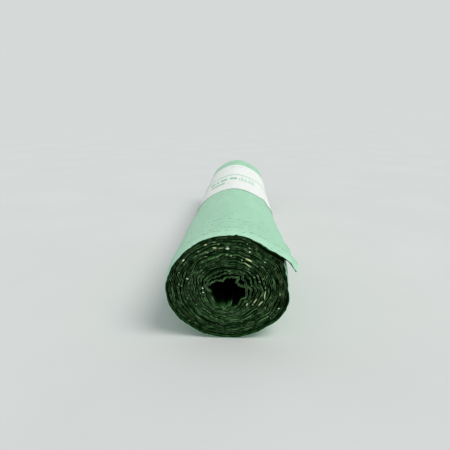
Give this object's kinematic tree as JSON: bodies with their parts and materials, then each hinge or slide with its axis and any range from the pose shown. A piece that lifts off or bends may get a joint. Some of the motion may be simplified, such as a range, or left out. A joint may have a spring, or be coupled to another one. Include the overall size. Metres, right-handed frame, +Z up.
{
  "type": "roll of grass seed mat",
  "caption": "Roll of pre-seeded lawn mat lying on its side, mint fleece outside and dark green seeded fleece inside, held shut by a white paper band",
  "frame": {"origin": "centre of the footprint, on the surface that the roll lies on", "axes": "+Z up, +Y along the roll from the end with the sprung free corner to the other end, +X to the right as that near end is looked at"},
  "size_m": [0.108, 0.5, 0.0923],
  "materials": {
    "seed_mat": "matte",
    "band_paper": "matte"
  },
  "bodies": {
    "root": {"mat_roll": "seed_mat", "paper_band": "band_paper"}
  },
  "joints": []
}
